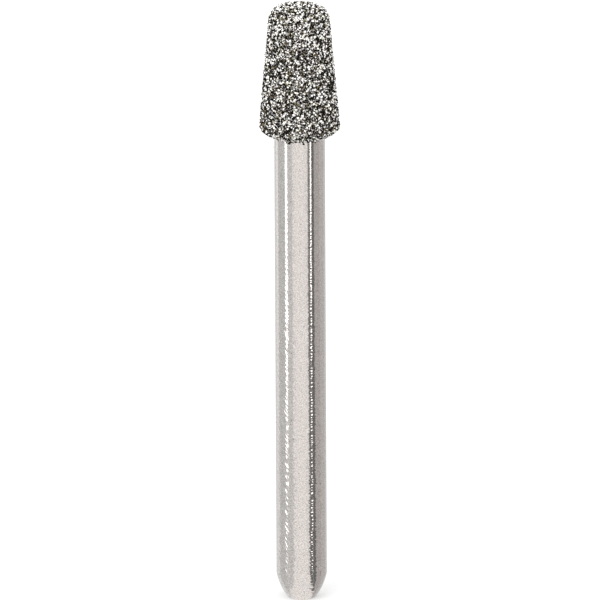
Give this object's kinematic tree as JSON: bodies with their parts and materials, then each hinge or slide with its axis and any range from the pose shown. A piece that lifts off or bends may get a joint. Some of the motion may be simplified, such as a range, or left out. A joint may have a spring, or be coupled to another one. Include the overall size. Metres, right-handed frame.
{
  "type": "dental bur",
  "caption": "Diamond-coated dental bur with a wide tapered head, rounded at the tip, and a smooth friction-grip shank.",
  "frame": {"origin": "centre of the flat on the shank's end", "axes": "+Z along the axis the bur spins on, from the shank's end to the tip of the head; X and Y are free, because the bur is round"},
  "size_m": [0.0026, 0.0026, 0.0193],
  "materials": {
    "ground_steel": "stainless steel, finely ground",
    "nickel_plate": "bright nickel plating, finely nodular",
    "diamond": "synthetic diamond grit, grey to olive, glinting"
  },
  "bodies": {
    "root": {"steel_blank": "ground_steel", "nickel_bond": "nickel_plate", "diamond_grit": "diamond"}
  },
  "joints": []
}
